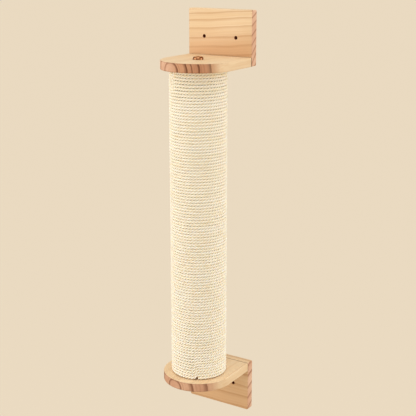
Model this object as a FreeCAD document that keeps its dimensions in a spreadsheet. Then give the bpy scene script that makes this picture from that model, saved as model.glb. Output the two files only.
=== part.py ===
import FreeCAD, Part
import math
import os
import Sketcher
from FreeCAD import Placement, Rotation, Vector

# Wall mounted cat tree: a scratching post wound with sisal rope, held between two pine
# brackets that screw to a wall. Millimetres. The origin lies midway between the two screw
# holes of the upper bracket, on the wall. X runs to the right along the wall, Y runs into the
# wall and Z runs up, so the whole object lies at Y <= 0 and mostly below the origin.
#
# The lower bracket is the upper one turned upside down. Each piece of a bracket is therefore
# drawn once, as it sits in the upper bracket, and used again half a turn about Y below.

os.makedirs("parts", exist_ok=True)
doc = FreeCAD.newDocument("WallMountedCatTree")


# ---------------------------------------------------------------------------------------------
# Driving dimensions
# ---------------------------------------------------------------------------------------------

class Size:
    """A length, known as a number and as the formula that ties it to the sheet."""

    def __init__(self, formula, value):
        self.formula = formula
        self.value = value

    def __add__(self, other):
        other = as_size(other)
        return Size(f"({self.formula} + {other.formula})", self.value + other.value)

    def __sub__(self, other):
        other = as_size(other)
        return Size(f"({self.formula} - {other.formula})", self.value - other.value)

    def __neg__(self):
        return Size(f"(0 - {self.formula})", -self.value)

    def __mul__(self, factor):
        return Size(f"({self.formula} * ({factor}))", self.value * factor)

    def __truediv__(self, divisor):
        return Size(f"({self.formula} / {divisor})", self.value / divisor)


def as_size(length):
    """A bare number as a Size, and a Size as it is."""
    return length if isinstance(length, Size) else Size(f"({length})", float(length))


sheet = doc.addObject("Spreadsheet::Sheet", "Dimensions")
sheet.Label = "Dimensions"
rows_used = 0


def dimension(alias, value, meaning):
    """Writes one driving dimension into the sheet and gives it back as a Size."""
    global rows_used
    rows_used += 1
    sheet.set(f"A{rows_used}", alias)
    sheet.set(f"B{rows_used}", str(value))
    sheet.set(f"C{rows_used}", meaning)
    sheet.setAlias(f"B{rows_used}", alias)
    return Size(f"Dimensions.{alias}", float(value))


# The boards: the wall plates and the shelves are cut from the same board.
board_thick = dimension("board_thick", 17.0, "thickness of the pine board")
plate_width = dimension("plate_width", 140.0, "width of a wall plate and of its shelf")
plate_height = dimension("plate_height", 104.0, "height of a wall plate")
axis_reach = dimension("axis_reach", 76.0, "post axis in front of the wall plates' front face")
corner_radius = dimension("corner_radius", 3.0, "rounding of a wall plate's four corners")
edge_ease = dimension("edge_ease", 1.2, "rounding of the boards' other edges")
wall_hole_dia = dimension("wall_hole_dia", 7.0, "hole for a wall screw")
wall_hole_spacing = dimension("wall_hole_spacing", 70.0, "wall screw holes, centre to centre")

# The screws that draw a wall plate onto the end of its shelf, driven from behind.
screw_dia = dimension("screw_dia", 4.0, "shank of a shelf screw")
screw_thread_dia = dimension("screw_thread_dia", 3.2, "its wood thread, at the pitch diameter")
screw_head_dia = dimension("screw_head_dia", 8.0, "its countersunk head")
screw_length = dimension("screw_length", 45.0, "its length over the head")
screw_sink = dimension("screw_sink", 0.5, "its head below the wall plate's back")
screw_spacing = dimension("screw_spacing", 84.0, "shelf screws, centre to centre")
screw_slot = dimension("screw_slot", 1.2, "width of the cross recess in its head")
screw_recess = dimension("screw_recess", 4.4, "span of the cross recess in its head")
screw_recess_depth = dimension("screw_recess_depth", 1.6, "depth of the cross recess")

# The post: a cardboard tube with a wooden plug in each end.
post_length = dimension("post_length", 600.0, "post between the two shelves")
tube_dia = dimension("tube_dia", 97.0, "outside of the cardboard tube")
tube_wall = dimension("tube_wall", 5.0, "wall of the cardboard tube")
plug_length = dimension("plug_length", 25.0, "length of an end plug")
fit_gap = dimension("fit_gap", 0.15, "clearance round a piece pressed into its hole")

# The nails that hold a plug in the tube.
nail_dia = dimension("nail_dia", 2.0, "shank of a plug nail")
nail_head_dia = dimension("nail_head_dia", 5.0, "its flat head")
nail_head_thick = dimension("nail_head_thick", 1.0, "thickness of its head")
nail_length = dimension("nail_length", 25.0, "its length under the head")
nail_sink = dimension("nail_sink", 0.2, "its head below the tube's surface")

# The bolt through each shelf, and the tee nut that takes it in the plug.
bolt_dia = dimension("bolt_dia", 7.2, "M8 bolt, at the thread's pitch diameter")
bolt_hole_dia = dimension("bolt_hole_dia", 8.5, "hole for the bolt in a shelf")
bolt_length = dimension("bolt_length", 45.0, "its length under the head")
bolt_head_dia = dimension("bolt_head_dia", 20.0, "its broad domed head")
bolt_head_thick = dimension("bolt_head_thick", 6.0, "height of its head")
bolt_head_ease = dimension("bolt_head_ease", 4.4, "rounding of its head, from the top down the side")
socket_flats = dimension("socket_flats", 5.0, "hexagon socket, across its flats")
socket_depth = dimension("socket_depth", 3.0, "depth of the hexagon socket")
nut_barrel_dia = dimension("nut_barrel_dia", 10.0, "outside of the tee nut's barrel")
nut_barrel_length = dimension("nut_barrel_length", 11.0, "its barrel above the flange")
nut_flange_dia = dimension("nut_flange_dia", 23.0, "its flange")
nut_flange_thick = dimension("nut_flange_thick", 1.5, "thickness of its flange")
prong_length = dimension("prong_length", 6.0, "its prongs above the flange")
prong_width = dimension("prong_width", 3.0, "width of a prong round the flange")
prong_thick = dimension("prong_thick", 1.2, "thickness of a prong")

# The rope. Drawn as a smooth round cord; the turns touch on the real post.
rope_dia = dimension("rope_dia", 5.1, "sisal rope, pulled tight")
rope_gap = dimension("rope_gap", 0.5, "between one turn and the next")
rope_seat = dimension("rope_seat", 0.3, "between the rope and the tube, or a shelf")
rope_start = dimension("rope_start", 31.0, "degrees from the front to the rope's cut end")

# Counts
LOOPS_DRAWN = 12        # turns of rope that are drawn at each end of the post
NAILS_PER_PLUG = 4
PRONGS_PER_NUT = 4

# The lip of the plain sleeve of rope, in shares of the quarter turn that it lies in.
LIP_FROM = 0.27
LIP_TO = 0.90
LIP_SECTIONS = 8

doc.recompute()

# Places that several pieces share, in the upper bracket.
zero = Size("0", 0.0)
shelf_bottom = -(plate_height / 2)
shelf_middle = shelf_bottom + board_thick / 2
post_axis_y = -(board_thick + axis_reach)
rope_pitch = rope_dia + rope_gap
rope_head_height = rope_seat + rope_pitch * LOOPS_DRAWN


# ---------------------------------------------------------------------------------------------
# Drawing helpers
# ---------------------------------------------------------------------------------------------

def new_body(label):
    body = doc.addObject("PartDesign::Body", label)
    body.Label = label
    return body


def place(piece, across, along, up, lower=False, turn=None):
    """Puts a piece at its place in the upper bracket, or at the same place in the lower one.

    The lower bracket is the upper one turned half round about the Y axis, so that its plate's
    shelf end comes up to the other end of the post.
    """
    turn = turn or Rotation()
    if lower:
        across = -across
        up = -(plate_height + post_length) - up
        turn = Rotation(Vector(0, 1, 0), 180) * turn
    piece.Placement = Placement(Vector(across.value, along.value, up.value), turn)
    piece.setExpression("Placement.Base.x", across.formula)
    piece.setExpression("Placement.Base.y", along.formula)
    piece.setExpression("Placement.Base.z", up.formula)


def new_sketch(body, name, plane, offset=zero):
    """A sketch on one of its body's own origin planes, moved along the plane's normal."""
    sketch = body.newObject("Sketcher::SketchObject", name)
    support = [feature for feature in body.Origin.OriginFeatures if feature.Role == plane][0]
    sketch.AttachmentSupport = [(support, "")]
    sketch.MapMode = "FlatFace"
    sketch.AttachmentOffset = Placement(Vector(0, 0, offset.value), Rotation())
    sketch.setExpression("AttachmentOffset.Base.z", offset.formula)
    return sketch


def bind(sketch, constraint, size):
    """Adds a constraint whose value follows the sheet."""
    index = sketch.addConstraint(constraint)
    sketch.setExpression(f"Constraints[{index}]", size.formula)


def pin(sketch, geometry, point, across, up):
    """Holds a point of the sketch at its distances from the sketch's origin."""
    for kind, axis, size in (("DistanceX", -2, across), ("DistanceY", -1, up)):
        if size is zero:
            sketch.addConstraint(Sketcher.Constraint("PointOnObject", geometry, point, axis))
        elif size.value < 0:
            bind(sketch, Sketcher.Constraint(kind, geometry, point, -1, 1, -size.value), -size)
        else:
            bind(sketch, Sketcher.Constraint(kind, -1, 1, geometry, point, size.value), size)


def draw_polygon(sketch, corners):
    """A closed outline through corners given as (across, up)."""
    points = [Vector(across.value, up.value, 0) for across, up in corners]
    lines = []
    for start, end in zip(points, points[1:] + points[:1]):
        lines.append(sketch.addGeometry(Part.LineSegment(start, end), False))
    for line, following in zip(lines, lines[1:] + lines[:1]):
        sketch.addConstraint(Sketcher.Constraint("Coincident", line, 2, following, 1))
    for line, (across, up) in zip(lines, corners):
        pin(sketch, line, 1, across, up)


def draw_circle(sketch, diameter, across=zero, up=zero):
    centre = Vector(across.value, up.value, 0)
    circle = sketch.addGeometry(Part.Circle(centre, Vector(0, 0, 1), diameter.value / 2), False)
    pin(sketch, circle, 3, across, up)
    bind(sketch, Sketcher.Constraint("Diameter", circle, diameter.value), diameter)


def add_pad(body, name, sketch, length, downwards=False):
    pad = body.newObject("PartDesign::Pad", name)
    pad.Profile = sketch
    pad.Reversed = downwards
    pad.setExpression("Length", length.formula)
    doc.recompute()
    return pad


def add_pocket(body, name, sketch, length=None, reverse=False):
    """A pocket of the length given, or right through. It has to take something away."""
    before = body.Shape.Volume
    pocket = body.newObject("PartDesign::Pocket", name)
    pocket.Profile = sketch
    pocket.Reversed = reverse
    if length is None:
        pocket.Type = "ThroughAll"
    else:
        pocket.setExpression("Length", length.formula)
    doc.recompute()
    if body.Shape.Volume > before - 1e-3:
        raise RuntimeError(f"{name} in {body.Label} cuts nothing")
    return pocket


def add_revolution(body, name, sketch):
    """Turns an outline round the sketch's upright axis."""
    revolution = body.newObject("PartDesign::Revolution", name)
    revolution.Profile = sketch
    revolution.ReferenceAxis = (sketch, ["V_Axis"])
    revolution.Angle = 360
    doc.recompute()
    return revolution


def add_ring_pattern(body, name, features, count):
    """Repeats features evenly round the body's upright axis."""
    pattern = body.newObject("PartDesign::PolarPattern", name)
    upright = [axis for axis in body.Origin.OriginFeatures if axis.Role == "Z_Axis"][0]
    pattern.Originals = features
    pattern.Axis = (upright, [""])
    pattern.Angle = 360
    pattern.Occurrences = count
    body.Tip = pattern
    doc.recompute()
    return pattern


def add_fillet(body, name, radius, wanted):
    """Rounds those edges of the body for which wanted(edge) is true."""
    base = body.Tip
    edges = [f"Edge{number + 1}" for number, edge in enumerate(base.Shape.Edges) if wanted(edge)]
    fillet = body.newObject("PartDesign::Fillet", name)
    fillet.Base = (base, edges)
    fillet.setExpression("Radius", radius.formula)
    doc.recompute()
    return fillet


def group(label, members):
    """Identical fasteners of one bracket, kept together as separate solids."""
    compound = doc.addObject("Part::Compound", label)
    compound.Label = label
    compound.Links = members
    return compound


def near(first, second):
    return abs(first - second) < 1e-3


# ---------------------------------------------------------------------------------------------
# Boards
# ---------------------------------------------------------------------------------------------

def make_wall_plate(label, lower):
    """A rectangular board. Two plain holes take the wall screws, and two countersunk holes
    in its back take the screws that draw it onto the shelf's end."""
    body = new_body(label)
    right = plate_width / 2
    top = plate_height / 2
    outline = new_sketch(body, label + "_outline", "XZ_Plane")
    draw_polygon(outline, [(-right, -top), (right, -top), (right, top), (-right, top)])
    add_pad(body, label + "_board", outline, board_thick)

    wall_holes = new_sketch(body, label + "_wall_holes", "XZ_Plane")
    for side in (-1, 1):
        draw_circle(wall_holes, wall_hole_dia, wall_hole_spacing * (side / 2), zero)
    add_pocket(body, label + "_wall_bores", wall_holes, reverse=True)

    screw_holes = new_sketch(body, label + "_screw_holes", "XZ_Plane")
    for side in (-1, 1):
        draw_circle(screw_holes, screw_dia, screw_spacing * (side / 2), shelf_middle)
    doc.recompute()
    before = body.Shape.Volume
    hole = body.newObject("PartDesign::Hole", label + "_screw_bores")
    hole.Profile = screw_holes
    hole.DepthType = "ThroughAll"
    hole.ThreadType = "None"
    hole.HoleCutType = "Countersink"
    hole.HoleCutCountersinkAngle = 90
    hole.Reversed = True
    hole.setExpression("Diameter", (screw_dia + fit_gap * 2).formula)
    hole.setExpression("HoleCutDiameter", (screw_head_dia + screw_sink * 2 + fit_gap * 2).formula)
    doc.recompute()
    if body.Shape.Volume > before - 1e-3:
        raise RuntimeError(f"the screw holes of {label} cut nothing")

    def at_corner(edge):
        runs_through = near(edge.BoundBox.XLength, 0) and near(edge.BoundBox.ZLength, 0)
        return runs_through and near(abs(edge.CenterOfMass.x), right.value)

    def round_outline(edge):
        box = edge.BoundBox
        inside = box.XMax < right.value - 8 and box.XMin > 8 - right.value
        inside = inside and box.ZMax < top.value - 4 and box.ZMin > 4 - top.value
        return near(box.YLength, 0) and not inside

    add_fillet(body, label + "_corners", corner_radius, at_corner)
    add_fillet(body, label + "_eased_edges", edge_ease, round_outline)
    place(body, zero, zero, zero, lower)
    return body


def make_shelf(label, lower):
    """A board with a half round nose about the post's axis. Its square end meets the wall
    plate. The bolt passes through it on the axis, and its end has two pilot holes."""
    body = new_body(label)
    half = plate_width / 2
    outline = new_sketch(body, label + "_outline", "XY_Plane")
    corners = [
        Vector(half.value, 0, 0),
        Vector(half.value, axis_reach.value, 0),
        Vector(-half.value, axis_reach.value, 0),
        Vector(-half.value, 0, 0),
    ]
    right_side = outline.addGeometry(Part.LineSegment(corners[0], corners[1]), False)
    back_end = outline.addGeometry(Part.LineSegment(corners[1], corners[2]), False)
    left_side = outline.addGeometry(Part.LineSegment(corners[2], corners[3]), False)
    circle = Part.Circle(Vector(0, 0, 0), Vector(0, 0, 1), half.value)
    nose = outline.addGeometry(Part.ArcOfCircle(circle, math.pi, 2 * math.pi), False)
    for first, second in ((right_side, back_end), (back_end, left_side)):
        outline.addConstraint(Sketcher.Constraint("Coincident", first, 2, second, 1))
    outline.addConstraint(Sketcher.Constraint("Coincident", left_side, 2, nose, 1))
    outline.addConstraint(Sketcher.Constraint("Coincident", nose, 2, right_side, 1))
    outline.addConstraint(Sketcher.Constraint("Coincident", nose, 3, -1, 1))
    outline.addConstraint(Sketcher.Constraint("Vertical", right_side))
    outline.addConstraint(Sketcher.Constraint("Vertical", left_side))
    outline.addConstraint(Sketcher.Constraint("Horizontal", back_end))
    outline.addConstraint(Sketcher.Constraint("PointOnObject", nose, 1, -1))
    bind(outline, Sketcher.Constraint("Radius", nose, half.value), half)
    bind(outline, Sketcher.Constraint("DistanceY", right_side, 1, right_side, 2,
                                      axis_reach.value), axis_reach)
    add_pad(body, label + "_board", outline, board_thick)

    bolt_hole = new_sketch(body, label + "_bolt_hole", "XY_Plane")
    draw_circle(bolt_hole, bolt_hole_dia)
    add_pocket(body, label + "_bolt_bore", bolt_hole, reverse=True)

    pilots = new_sketch(body, label + "_pilots", "XZ_Plane", -axis_reach)
    for side in (-1, 1):
        draw_circle(pilots, screw_thread_dia + fit_gap * 2, screw_spacing * (side / 2),
                    board_thick / 2)
    pilot_depth = screw_sink + screw_length - board_thick + fit_gap * 2
    add_pocket(body, label + "_pilot_bores", pilots, pilot_depth, reverse=True)

    def round_outline(edge):
        box = edge.BoundBox
        at_end = near(box.YMin, axis_reach.value)
        at_bolt = box.XLength < half.value and box.YMax < half.value / 2 and box.YMin > -half.value / 2
        return near(box.ZLength, 0) and not at_end and not at_bolt

    add_fillet(body, label + "_eased_edges", edge_ease, round_outline)
    place(body, zero, post_axis_y, shelf_bottom, lower)
    return body


# ---------------------------------------------------------------------------------------------
# Fasteners
# ---------------------------------------------------------------------------------------------

def make_shelf_screw(label):
    """A countersunk wood screw, head up, with its head's face at the origin."""
    body = new_body(label)
    head = screw_head_dia / 2
    shank = screw_dia / 2
    thread = screw_thread_dia / 2
    cone = head - shank
    profile = new_sketch(body, label + "_profile", "XZ_Plane")
    draw_polygon(profile, [
        (zero, zero),
        (head, zero),
        (shank, -cone),
        (shank, screw_sink - board_thick),
        (thread, screw_sink - board_thick),
        (thread, -(screw_length - screw_dia)),
        (zero, -screw_length),
    ])
    add_revolution(body, label + "_turned", profile)
    arm = screw_recess / 2
    side = screw_slot / 2
    recess = new_sketch(body, label + "_cross", "XY_Plane")
    draw_polygon(recess, [
        (arm, -side), (arm, side), (side, side), (side, arm), (-side, arm), (-side, side),
        (-arm, side), (-arm, -side), (-side, -side), (-side, -arm), (side, -arm), (side, -side),
    ])
    add_pocket(body, label + "_cross_recess", recess, screw_recess_depth)
    return body


def make_shelf_screws(label, lower):
    """Two wood screws, driven from the back of the wall plate into the shelf's end."""
    screws = []
    head_up_turned_back = Rotation(Vector(1, 0, 0), -90)
    for name, side in (("left", -1), ("right", 1)):
        screw = make_shelf_screw(f"{label}_{name}")
        place(screw, screw_spacing * (side / 2), -screw_sink, shelf_middle, lower,
              head_up_turned_back)
        screws.append(screw)
    return group(label, screws)


def make_post_bolt(label, lower):
    """A furniture bolt with a broad domed head and a hexagon socket, down through the shelf."""
    body = new_body(label)
    head = bolt_head_dia / 2
    shank = bolt_dia / 2
    profile = new_sketch(body, label + "_profile", "XZ_Plane")
    top = board_thick + bolt_head_thick
    tip = board_thick - bolt_length
    tip_ease = bolt_dia / 8
    draw_polygon(profile, [
        (zero, top),
        (head, top),
        (head, board_thick),
        (shank, board_thick),
        (shank, tip + tip_ease),
        (shank - tip_ease, tip),
        (zero, tip),
    ])
    add_revolution(body, label + "_turned", profile)

    socket = new_sketch(body, label + "_socket", "XY_Plane", top)
    corner = socket_flats / math.sqrt(3)
    draw_polygon(socket, [
        (corner * math.cos(math.radians(angle)), corner * math.sin(math.radians(angle)))
        for angle in (15, 75, 135, 195, 255, 315)
    ])
    add_pocket(body, label + "_socket_recess", socket, socket_depth)

    def head_rim(edge):
        return near(edge.BoundBox.XLength, bolt_head_dia.value) and near(edge.BoundBox.ZMax, top.value)

    add_fillet(body, label + "_eased_rim", bolt_head_ease, head_rim)
    place(body, zero, post_axis_y, shelf_bottom, lower)
    return body


def make_tee_nut(label, lower):
    """A tee nut against the inner end of the plug, its barrel and prongs in the plug."""
    body = new_body(label)
    flange = new_sketch(body, label + "_flange", "XY_Plane", -(plug_length + nut_flange_thick))
    draw_circle(flange, nut_flange_dia)
    add_pad(body, label + "_flange_disc", flange, nut_flange_thick)
    barrel = new_sketch(body, label + "_barrel", "XY_Plane", -plug_length)
    draw_circle(barrel, nut_barrel_dia)
    add_pad(body, label + "_barrel_post", barrel, nut_barrel_length)
    bore = new_sketch(body, label + "_bore", "XY_Plane", nut_barrel_length - plug_length)
    draw_circle(bore, bolt_dia + fit_gap * 2)
    add_pocket(body, label + "_thread", bore)
    prong = new_sketch(body, label + "_prong", "XY_Plane", -plug_length)
    draw_polygon(prong, prong_outline(zero))
    first_prong = add_pad(body, label + "_first_prong", prong, prong_length)
    add_ring_pattern(body, label + "_prongs", [first_prong], PRONGS_PER_NUT)
    place(body, zero, post_axis_y, shelf_bottom, lower,
          Rotation(Vector(0, 0, 1), nail_angles()[0]))
    return body


def prong_outline(gap):
    """A prong's section at the flange's rim, or with a gap the slot that it bites."""
    outer = nut_flange_dia / 2 - prong_thick / 4
    inner = outer - prong_thick - gap
    side = prong_width / 2 + gap
    outer = outer + gap
    return [(inner, -side), (outer, -side), (outer, side), (inner, side)]


def make_plug_nail(label):
    """A flat headed nail, head up, with its head's face at the origin."""
    body = new_body(label)
    head = nail_head_dia / 2
    shank = nail_dia / 2
    profile = new_sketch(body, label + "_profile", "XZ_Plane")
    draw_polygon(profile, [
        (zero, zero),
        (head, zero),
        (head, -nail_head_thick),
        (shank, -nail_head_thick),
        (shank, -(nail_head_thick + nail_length - nail_dia * 1.5)),
        (zero, -(nail_head_thick + nail_length)),
    ])
    add_revolution(body, label + "_turned", profile)
    return body


def nail_angles():
    return [45.0 + 360.0 * number / NAILS_PER_PLUG for number in range(NAILS_PER_PLUG)]


def make_plug_nails(label, lower):
    """Nails through the tube's wall into the plug, evenly round the post."""
    nails = []
    face = tube_dia / 2 - nail_sink
    for number, angle in enumerate(nail_angles(), 1):
        nail = make_plug_nail(f"{label}_{number}")
        outwards = Rotation(Vector(0, 0, 1), angle) * Rotation(Vector(0, 1, 0), 90)
        across = face * math.cos(math.radians(angle))
        along = post_axis_y + face * math.sin(math.radians(angle))
        place(nail, across, along, shelf_bottom - plug_length / 2, lower, outwards)
        nails.append(nail)
    return group(label, nails)


# ---------------------------------------------------------------------------------------------
# Post
# ---------------------------------------------------------------------------------------------

def make_post_tube(label):
    """The cardboard tube, end to end between the shelves, with sunk holes for the nails."""
    body = new_body(label)
    ring = new_sketch(body, label + "_ring", "XY_Plane")
    draw_circle(ring, tube_dia)
    draw_circle(ring, tube_dia - tube_wall * 2)
    add_pad(body, label + "_wall", ring, post_length, downwards=True)

    surface = tube_dia / 2
    heights = (-(plug_length / 2), plug_length / 2 - post_length)
    shanks = new_sketch(body, label + "_nail_shanks", "YZ_Plane", surface)
    heads = new_sketch(body, label + "_nail_heads", "YZ_Plane", surface)
    for height in heights:
        draw_circle(shanks, nail_dia + fit_gap * 2, zero, height)
        draw_circle(heads, nail_head_dia + fit_gap * 2, zero, height)
    shank_bores = add_pocket(body, label + "_shank_bores", shanks, tube_wall * 1.5)
    head_depth = nail_sink + nail_head_thick + fit_gap
    head_bores = add_pocket(body, label + "_head_bores", heads, head_depth)
    add_ring_pattern(body, label + "_bores", [shank_bores, head_bores], NAILS_PER_PLUG)
    place(body, zero, post_axis_y, shelf_bottom, False,
          Rotation(Vector(0, 0, 1), nail_angles()[0]))
    return body


def make_end_plug(label, lower):
    """A turned wooden disc in the tube's end, bored for the tee nut, its prongs and the nails."""
    body = new_body(label)
    disc = new_sketch(body, label + "_disc", "XY_Plane")
    plug_dia = tube_dia - tube_wall * 2 - fit_gap * 2
    draw_circle(disc, plug_dia)
    draw_circle(disc, nut_barrel_dia + fit_gap * 2)
    add_pad(body, label + "_wood", disc, plug_length, downwards=True)

    slot = new_sketch(body, label + "_slot", "XY_Plane", -plug_length)
    draw_polygon(slot, prong_outline(fit_gap))
    first_slot = add_pocket(body, label + "_first_slot", slot, prong_length + fit_gap, reverse=True)
    add_ring_pattern(body, label + "_slots", [first_slot], PRONGS_PER_NUT)

    bore = new_sketch(body, label + "_nail_bore", "YZ_Plane", plug_dia / 2)
    draw_circle(bore, nail_dia + fit_gap * 2, zero, -(plug_length / 2))
    nail_in_plug = nail_sink + nail_head_thick + nail_length - tube_wall
    first_bore = add_pocket(body, label + "_first_bore", bore, nail_in_plug)
    add_ring_pattern(body, label + "_nail_bores", [first_bore], NAILS_PER_PLUG)
    place(body, zero, post_axis_y, shelf_bottom, lower,
          Rotation(Vector(0, 0, 1), nail_angles()[0]))
    return body


# ---------------------------------------------------------------------------------------------
# Rope
# ---------------------------------------------------------------------------------------------

def arc_through(start, heading, end):
    """The arc that leaves start along heading and reaches end."""
    chord = end - start
    offset = chord.getAngle(heading)
    if offset < 1e-7:
        return Part.LineSegment(start, end)
    leg = chord.Length / 2 / math.cos(offset)
    bulge = (start + heading * leg) - (start + chord * 0.5)
    middle = start + chord * 0.5 + bulge.normalize() * (chord.Length / 2 * math.tan(offset / 2))
    return Part.Arc(start, middle, end)


def biarc(start, heading, end, arrival):
    """Two arcs that join smoothly, from start along heading to end along arrival."""
    chord = end - start
    both = heading + arrival
    bend = 2 * (1 - heading.dot(arrival))
    leg = (math.sqrt(chord.dot(both) ** 2 + bend * chord.dot(chord)) - chord.dot(both)) / bend
    joint = (start + heading * leg + end - arrival * leg) * 0.5
    at_joint = (end - arrival * leg - start - heading * leg).normalize()
    return [arc_through(start, heading, joint), arc_through(joint, at_joint, end)]


def rope_first_angle():
    """Where the cut end under the upper shelf lies, about the post, from the X axis."""
    return math.radians(270.0 - rope_start.value)


def rope_path(radius, pitch, tail, first_angle, first_level):
    """The first turns of the winding, from its cut end under the upper shelf downwards.

    Each turn lies flat for three quarters and steps down by one pitch in its last quarter,
    where it comes round to its own beginning. Both ends run straight for one rope diameter.
    """
    def at(quarter):
        level = first_level - pitch * (quarter // 4)
        angle = first_angle - quarter * math.pi / 2
        return Vector(radius * math.cos(angle), radius * math.sin(angle), level)

    def heading(quarter):
        angle = first_angle - quarter * math.pi / 2
        return Vector(math.sin(angle), -math.cos(angle), 0)

    last = 4 * LOOPS_DRAWN - 1
    curves = [Part.LineSegment(at(0) - heading(0) * tail, at(0))]
    for quarter in range(last):
        curves += biarc(at(quarter), heading(quarter), at(quarter + 1), heading(quarter + 1))
    curves.append(Part.LineSegment(at(last), at(last) + heading(last) * tail))
    return curves


def least_gap(curves, pitch, diameter):
    """The least distance between one turn and the next, measured on points of the path."""
    points = []
    for curve in curves:
        points += curve.discretize(24)[:-1]
    nearest = 10 * pitch
    for index, point in enumerate(points):
        for other in points[index + 60:]:
            if abs(other.z - point.z) < 2 * pitch:
                nearest = min(nearest, point.distanceToPoint(other))
    return nearest - diameter


def make_rope_turns(label, lower):
    """The turns of rope next to a shelf, as one unbroken round tube."""
    diameter = rope_dia.value
    radius = tube_dia.value / 2 + rope_seat.value + diameter / 2
    first_level = -rope_seat.value - diameter / 2
    curves = rope_path(radius, rope_pitch.value, diameter, rope_first_angle(), first_level)
    path = Part.Wire([curve.toShape() for curve in curves])
    start = path.Edges[0].valueAt(path.Edges[0].FirstParameter)
    along = path.Edges[0].tangentAt(path.Edges[0].FirstParameter)
    section = Part.Wire([Part.Circle(start, along, diameter / 2).toShape()])
    shell = Part.BRepOffsetAPI.MakePipeShell(path)
    shell.add(section)
    shell.build()
    shell.makeSolid()
    solid = shell.shape()
    feature = doc.addObject("Part::Feature", label)
    feature.Label = label
    feature.Shape = solid
    place(feature, zero, post_axis_y, shelf_bottom, lower)
    ideal = math.pi * diameter ** 2 / 4 * path.Length
    print(f"{label}: {LOOPS_DRAWN} turns, {path.Length / 1000:.2f} m, least gap to itself "
          f"{least_gap(curves, rope_pitch.value, diameter):.2f} mm, "
          f"volume {solid.Volume / ideal:.4f} of section times length")
    return feature


def make_rope_lip(inner, outer, rim):
    """The stretch of the sleeve's rim that fills the step beside the last drawn turn.

    That turn leaves its level over a quarter turn. The lip follows it there, from where it is
    thick enough to stand up to the end of the turn drawn last.
    """
    sections = []
    for number in range(LIP_SECTIONS + 1):
        share = LIP_FROM + (LIP_TO - LIP_FROM) * number / LIP_SECTIONS
        step = 2 * share ** 2 if share < 0.5 else 1 - 2 * (1 - share) ** 2
        height = rim + step * rope_pitch.value
        angle = rope_first_angle() + share * math.pi / 2
        outwards = Vector(math.cos(angle), math.sin(angle), 0)
        corners = [
            outwards * inner + Vector(0, 0, rim),
            outwards * outer + Vector(0, 0, rim),
            outwards * outer + Vector(0, 0, height),
            outwards * inner + Vector(0, 0, height),
        ]
        sections.append(Part.makePolygon(corners + corners[:1]))
    return Part.makeLoft(sections, True, True)


def make_rope_middle(label):
    """The turns between the two drawn stretches, as a plain sleeve of their outer shape."""
    inner = tube_dia.value / 2 + rope_seat.value
    outer = inner + rope_dia.value
    rim = -rope_head_height.value
    length = post_length.value - 2 * rope_head_height.value
    foot = Vector(0, 0, rim - length)
    sleeve = Part.makeCylinder(outer, length, foot).cut(Part.makeCylinder(inner, length, foot))
    lip = make_rope_lip(inner, outer, rim)
    other_lip = lip.copy()
    other_lip.rotate(Vector(0, 0, -post_length.value / 2), Vector(0, 1, 0), 180)
    feature = doc.addObject("Part::Feature", label)
    feature.Label = label
    feature.Shape = sleeve.fuse([lip, other_lip]).removeSplitter()
    place(feature, zero, post_axis_y, shelf_bottom)
    return feature


# ---------------------------------------------------------------------------------------------
# The whole object
# ---------------------------------------------------------------------------------------------

pieces = [
    make_post_tube("post_tube"),
    make_rope_middle("rope_middle"),
]
for position, lower in (("upper", False), ("lower", True)):
    pieces.append(make_wall_plate(position + "_wall_plate", lower))
    pieces.append(make_shelf(position + "_shelf", lower))
    pieces.append(make_shelf_screws(position + "_shelf_screws", lower))
    pieces.append(make_post_bolt(position + "_post_bolt", lower))
    pieces.append(make_tee_nut(position + "_tee_nut", lower))
    pieces.append(make_end_plug(position + "_end_plug", lower))
    pieces.append(make_plug_nails(position + "_plug_nails", lower))
    pieces.append(make_rope_turns("rope_" + position + "_turns", lower))

doc.recompute()

for item in doc.Objects:
    if "Invalid" in item.State or "Error" in item.State:
        raise RuntimeError(f"{item.Label} failed: {item.State}")
for piece in pieces:
    if piece.Shape.isNull() or not piece.Shape.isValid():
        raise RuntimeError(f"{piece.Label} has no valid shape")
for piece in pieces:
    piece.Shape.exportStep(f"parts/{piece.Label}.step")
    print(f"{piece.Label}: {len(piece.Shape.Solids)} solid(s), {piece.Shape.Volume / 1000:.2f} cm3")
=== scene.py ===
# %% [markdown]
# # A wall mounted cat tree
# Two pine brackets hold a post wound with sisal rope. This notebook dresses the engineering
# model of it: the boards get grain and rounded edges, the rope gets its three strands, and a
# small studio is built round the whole. All lengths are metres, and the wall is the plane y = 0.

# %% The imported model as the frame
import math

import bmesh
import bpy
from mathutils import Matrix, Vector


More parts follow.
